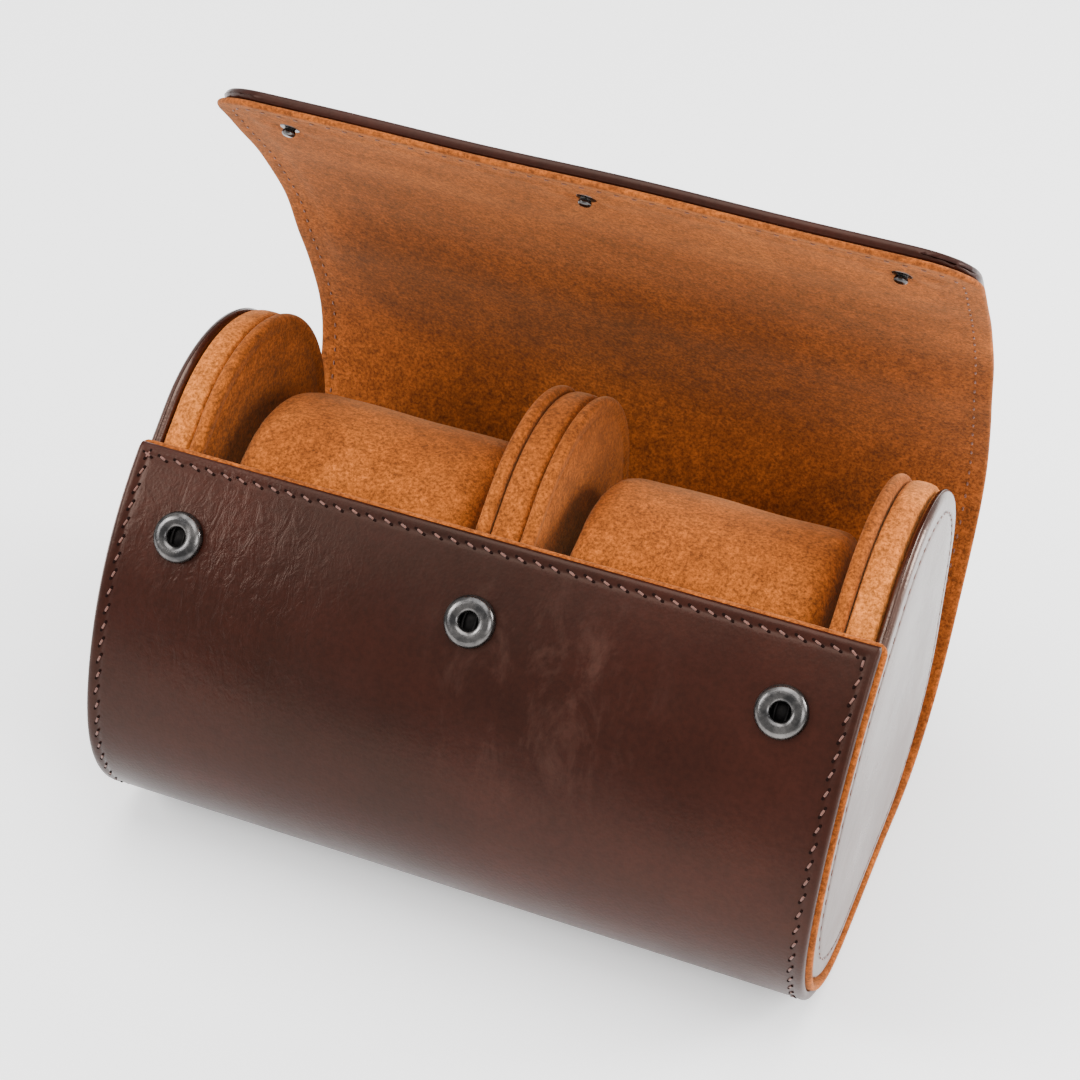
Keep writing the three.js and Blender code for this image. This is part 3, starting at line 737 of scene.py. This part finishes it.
def rim_stitches(name, x, sign):
    """The stitches in the leather disc's groove."""
    ring = resample(cap_ring(DISC_STITCH_INSET), DISC_STITCH_PITCH, closed=True)
    ahead = np.roll(ring, -1, 0) - np.roll(ring, 1, 0)
    places = []
    for (y, z), (dy, dz) in zip(ring, ahead):
        places.append((np.array([x, y, z]), np.array([0, dy, dz]), np.array([sign, 0.0, 0.0])))
    return scatter(name, places, STITCH_POINTS * (0.85, 0.8, 0.7), STITCH_FACES, THREAD)


def ride_as(piece, body, slot, *nodes):
    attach(piece, body)
    if nodes:
        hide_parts(*nodes)


def padded_as(piece, body, slot, *nodes, amount=0.8):
    ride_as(piece, body, slot, *nodes)


SIDES = (("left", -1), ("right", 1))
for side, sign in SIDES:
    disc = capped(f"cap_{side}_leather_pad", disc_profile(sign), CAP_LEATHER)
    padded_as(disc, "roll", "leather", f"cap_{side}_leather_disc")
    stitches = rim_stitches(f"cap_{side}_rim_stitches", sign * (CAP_FACE_X - 0.2), sign)
    ride_as(stitches, "roll", "leather")
    band = band_profile(sign * CAP_LIP_X, sign * CAP_BAND_X, 0.55, 0.5)
    piece = capped(f"cap_{side}_suede_band", band, BAND)
    ride_as(piece, "roll", "suede", f"cap_{side}_band", f"cap_{side}_core")
    lip = capped(f"cap_{side}_suede_pad", pad_profile(sign * CAP_LIP_X, sign * CAP_INNER_X), SUEDE)
    padded_as(lip, "roll", "suede", f"cap_{side}_inner_face")

band = band_profile(-DIVIDER_BAND_X, DIVIDER_BAND_X, 0.5, 0.42)
piece = capped("divider_suede_band", band, SUEDE)
ride_as(piece, "roll", "suede", "divider_band", "divider_core")
for side, sign in SIDES:
    lip = capped(f"divider_{side}_pad", pad_profile(sign * DIVIDER_BAND_X, sign * DIVIDER_FACE_X), SUEDE)
    padded_as(lip, "roll", "suede", f"divider_{side}_face")


# ---------------------------------------------------------------- cushions
CUSHION_VOXEL = 0.003  # metres
CLOTH_FRAMES = 20
SWELL_LIMIT = 0.0016  # metres
END_PLAY = 1.0  # start shape to the CAD cushion's ends
SIDE_PLAY = 1.3


def cushion_start(name, x0, x1, centre, half_depth, half_height):
    """A closed oval bolster, a little smaller than its space, with rounded ends."""
    count, vertices = 72, []
    rows = [(14, 0.0), (6, 0.0), (3.2, 0.0), (1.6, 0.5), (0.6, 1.4), (0.0, 3.0)]
    stations = [(inset, x0 + dx) for inset, dx in rows]
    stations += [(0.0, x) for x in np.linspace(x0 + 7, x1 - 7, 10)]
    stations += [(inset, x1 - dx) for inset, dx in rows[::-1]]
    for inset, x in stations:
        for k in range(count):
            a = 2 * math.pi * k / count
            y = centre[0] + (half_depth - inset) * math.cos(a)
            z = centre[1] + (half_height - inset) * math.sin(a)
            vertices.append((x, y, z))
    faces = tube_faces(len(stations), count)
    faces.append(tuple(range(count)))
    faces.append(tuple((len(stations) - 1) * count + k for k in range(count)))
    return make(name, vertices, faces, SUEDE)


def apply_modifiers(piece):
    depsgraph = bpy.context.evaluated_depsgraph_get()
    mesh = bpy.data.meshes.new_from_object(piece.evaluated_get(depsgraph))
    piece.modifiers.clear()
    old = piece.data
    piece.data = mesh
    bpy.data.meshes.remove(old)


def inflate(piece, cap):
    """Swells the piece as stuffed cloth, with no point moving further than cap (metres)."""
    remesh = piece.modifiers.new("remesh", "REMESH")
    remesh.mode = "VOXEL"
    remesh.voxel_size = CUSHION_VOXEL
    apply_modifiers(piece)
    before = np.zeros(len(piece.data.vertices) * 3, np.float32)
    piece.data.vertices.foreach_get("co", before)
    before = before.reshape(-1, 3)
    cloth = piece.modifiers.new("cloth", "CLOTH")
    cloth.settings.quality = 6
    cloth.settings.mass = 0.25
    cloth.settings.tension_stiffness = 18
    cloth.settings.compression_stiffness = 18
    cloth.settings.bending_stiffness = 1.5
    cloth.settings.use_pressure = True
    cloth.settings.uniform_pressure_force = 4
    cloth.settings.effector_weights.gravity = 0
    cloth.point_cache.frame_start, cloth.point_cache.frame_end = 1, CLOTH_FRAMES
    for number in range(1, CLOTH_FRAMES + 1):
        bpy.context.scene.frame_set(number)
    apply_modifiers(piece)
    bpy.context.scene.frame_set(1)
    after = np.zeros(len(piece.data.vertices) * 3, np.float32)
    piece.data.vertices.foreach_get("co", after)
    move = after.reshape(-1, 3) - before
    far = np.linalg.norm(move, axis=1, keepdims=True)
    limited = before + move * np.minimum(1, cap / np.maximum(far, 1e-9))
    piece.data.vertices.foreach_set("co", limited.astype(np.float32).ravel())
    piece.data.update()


for side, _ in SIDES:
    low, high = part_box(f"cushion_{side}_cover")
    low, high = np.array(low) / MM, np.array(high) / MM
    centre = (low[1:] + high[1:]) / 2
    depth, height = (high[1] - low[1]) / 2, (high[2] - low[2]) / 2
    ends = (low[0] + END_PLAY, high[0] - END_PLAY)
    cushion = cushion_start(f"cushion_{side}_bolster", *ends, centre, depth - SIDE_PLAY, height - SIDE_PLAY)
    inflate(cushion, SWELL_LIMIT)
    points = np.zeros(len(cushion.data.vertices) * 3, np.float32)
    cushion.data.vertices.foreach_get("co", points)
    points = points.reshape(-1, 3)
    x, y, z = points.T / MM
    dimple = 0.35 * np.sin(x * 0.21 + y * 0.07) * np.sin(y * 0.13 + z * 0.05 + x * 0.03)
    radial = np.stack([np.zeros_like(y), y - centre[0], z - centre[1]], 1)
    radial /= np.maximum(np.linalg.norm(radial, axis=1, keepdims=True), 1)
    points = points + radial * dimple[:, None] * 0.5 * MM
    low_x, high_x = (low[0] - 0.2) * MM, (high[0] + 0.2) * MM
    points[:, 0] = np.clip(points[:, 0], low_x, high_x)
    points[:, 2] = np.maximum(points[:, 2], (low[2] - 0.3) * MM)
    cushion.data.vertices.foreach_set("co", points.astype(np.float32).ravel())
    smooth = cushion.modifiers.new("smooth", "SUBSURF")
    smooth.levels = smooth.render_levels = 1
    apply_modifiers(cushion)
    cushion.data.shade_smooth()
    padded_as(cushion, f"{side}_cushion", "suede", f"cushion_{side}_cover", f"cushion_{side}_foam",
              f"cushion_{side}_left_end", f"cushion_{side}_right_end", amount=0.9)


# ---------------------------------------------------------------- press studs
def lathe(name, profile, material, count=64):
    """A turned piece about local z: profile of (radius, height)."""
    vertices = []
    for r, h in profile:
        for k in range(count):
            a = 2 * math.pi * k / count
            vertices.append((r * math.cos(a), r * math.sin(a), h))
    return make(name, vertices, tube_faces(len(profile), count), material)


def placed(piece, origin, normal):
    """Stands a local-z piece at origin (millimetres) with its axis along the normal (y, z)."""
    up = Vector((0, normal[0], normal[1])).normalized()
    side = Vector((1, 0, 0))
    third = up.cross(side)
    matrix = Matrix((side, third, up)).transposed().to_4x4()
    matrix.translation = Vector([c * MM for c in origin])
    piece.data.transform(matrix)
    return piece


def arc_profile(points, steps=5):
    """The corner list with each inner corner rounded a little."""
    out = [points[0]]
    for a, b, c in zip(points, points[1:], points[2:]):
        a, b, c = np.array(a), np.array(b), np.array(c)
        cut = min(0.25, np.linalg.norm(a - b) / 2.2, np.linalg.norm(c - b) / 2.2)
        p = b + (a - b) / np.linalg.norm(a - b) * cut
        q = b + (c - b) / np.linalg.norm(c - b) * cut
        for k in range(steps + 1):
            t = k / steps
            out.append(tuple((1 - t) ** 2 * p + 2 * t * (1 - t) * b + t * t * q))
    out.append(points[-1])
    return out


def bar_mesh(reach=1.7, gap=1.3, bow=0.16, height=0.4, radius=0.3, rows=9, sides=8):
    """The spring's two bowed bars across the socket's bore, about local z."""
    points, faces = [], []
    for side in (-1, 1):
        first = len(points)
        for t in np.linspace(-reach, reach, rows):
            x = side * (gap - bow * (t / reach) ** 2)
            for k in range(sides):
                a = 2 * math.pi * k / sides
                points.append((x + radius * math.cos(a), t, height + radius * math.sin(a)))
        faces += [tuple(first + i for i in f) for f in tube_faces(rows, sides)]
    return points, faces


# sections as (radius, height) in millimetres
SOCKET = [(1.75, -1.2), (1.78, 0.8), (1.9, 1.3), (2.2, 1.7), (2.7, 1.92), (3.4, 1.98), (4.1, 1.84),
          (4.65, 1.5), (5.0, 1.05), (5.15, 0.55), (5.2, 0.1), (5.2, -0.1), (4.6, -0.3)]
SOCKET_FLOOR = [(0.001, 0.12), (1.9, 0.12), (2.1, 0.0)]
STUD = [(0.001, 1.85), (0.7, 1.8), (1.15, 1.6), (1.4, 1.2), (1.35, 0.85), (1.1, 0.45), (1.05, 0.3),
        (2.0, 0.2), (2.15, 0.0), (2.0, -0.4)]
DOME = [(0.001, 1.7), (2.0, 1.62), (3.8, 1.3), (5.1, 0.75), (5.8, 0.25), (6.0, -0.1), (5.6, -0.4)]
SNAP_NAMES = ("left", "middle", "right")
snap_normal = direction(SNAP_ANGLE)
for name, x in zip(SNAP_NAMES, SNAP_X):
    origin = (x, SNAP_PLACE[0], SNAP_PLACE[1])
    ring = placed(lathe(f"socket_{name}_ring", arc_profile(SOCKET), GUNMETAL), origin, snap_normal)
    ride_as(ring, "roll", "gunmetal", f"socket_{name}", f"socket_{name}_washer")
    floor_disc = placed(lathe(f"socket_{name}_floor", SOCKET_FLOOR, DARK_METAL), origin, snap_normal)
    ride_as(floor_disc, "roll", "gunmetal")
    bars, faces = bar_mesh()
    spring = placed(make(f"socket_{name}_spring_bars", bars, faces, DARK_METAL), origin, snap_normal)
    ride_as(spring, "roll", "gunmetal", f"socket_{name}_spring")

lid_foot = np.array([FRONT_CENTRE + snap_normal * LID_FRONT_RADIUS])
lid_outer = np.array([FRONT_CENTRE + snap_normal * (LID_FRONT_RADIUS + WALL)])
open_foot, open_outer = opened(lid_foot, 4)[0], opened(lid_outer, 4)[0]
open_normal = (open_outer - open_foot) / np.linalg.norm(open_outer - open_foot)
stud_centre = on_section(np.array([STUD_ALONG]), np.array([-OUTER_FACE]))[0]
cap_centre = on_section(np.array([STUD_ALONG]), np.array([OUTER_FACE]))[0]
for name, x in zip(SNAP_NAMES, SNAP_X):
    shift = wave(STUD_ALONG, x)
    at = stud_centre + open_normal * shift
    stud = placed(lathe(f"stud_{name}_ball", arc_profile(STUD), GUNMETAL), (x, at[0], at[1]), -open_normal)
    ride_as(stud, "lid_edge", "gunmetal", f"stud_{name}")
    at = cap_centre + open_normal * shift
    dome = placed(lathe(f"snap_cap_{name}_dome", arc_profile(DOME), GUNMETAL), (x, at[0], at[1]), open_normal)
    ride_as(dome, "lid_edge", "gunmetal", f"snap_cap_{name}")


# ---------------------------------------------------------------- stage, camera and light
floor_look = Shader("floor_pale").finish(
    Base_Color=(0.96, 0.96, 0.96, 1), Roughness=0.95, Emission_Color=(1, 1, 1, 1), Emission_Strength=0.3
)
bpy.ops.mesh.primitive_plane_add(size=6, location=(0, 0, 0))
floor = bpy.context.object
floor.name = "floor"
floor.data.materials.append(floor_look)

world = bpy.data.worlds.new("studio")
bpy.context.scene.world = world
world.use_nodes = True
sky = world.node_tree.nodes["Background"]
sky.inputs["Color"].default_value = (1, 1, 1, 1)
sky.inputs["Strength"].default_value = 0.95


def area_light(name, place, target, size, power):
    data = bpy.data.lights.new(name, "AREA")
    data.shape = "RECTANGLE"
    data.size, data.size_y = size
    data.energy = power
    lamp = bpy.data.objects.new(name, data)
    bpy.context.scene.collection.objects.link(lamp)
    lamp.location = place
    aim = Vector(target) - Vector(place)
    lamp.rotation_euler = aim.to_track_quat("-Z", "Y").to_euler()


area_light("top", (0.0, 0.1, 1.3), (0, 0, 0), (1.2, 1.2), 27)
area_light("left_key", (-0.85, -0.5, 0.75), (0, 0, 0.08), (0.5, 0.5), 13)
area_light("right_fill", (0.95, -0.5, 0.6), (0, 0.02, 0.09), (0.5, 0.5), 8)
area_light("right_gloss", (0.75, 0.42, 0.34), (0.08, 0, 0.06), (0.4, 0.4), 12)

CAMERA_AZIMUTH, CAMERA_ELEVATION, CAMERA_ROLL = 20.78, 41.0, 1.59
CAMERA_DISTANCE = 515.3
CAMERA_LENS = 86.67
CAMERA_TARGET = Vector((3.49, -4.54, 74.59)) * MM
az, el = math.radians(CAMERA_AZIMUTH), math.radians(CAMERA_ELEVATION)
back = Vector((math.sin(az) * math.cos(el), -math.cos(az) * math.cos(el), math.sin(el)))
right = Vector((math.cos(az), math.sin(az), 0))
up = back.cross(right)
roll = math.radians(CAMERA_ROLL)
view_right = right * math.cos(roll) + up * math.sin(roll)
view_up = up * math.cos(roll) - right * math.sin(roll)
camera_data = bpy.data.cameras.new("camera")
camera_data.sensor_width = 36
camera_data.lens = CAMERA_LENS
camera_data.clip_start = 0.01
camera = bpy.data.objects.new("camera", camera_data)
bpy.context.scene.collection.objects.link(camera)
matrix = Matrix((view_right, view_up, back)).transposed().to_4x4()
matrix.translation = CAMERA_TARGET + back * CAMERA_DISTANCE * MM
camera.matrix_world = matrix
bpy.context.scene.camera = camera
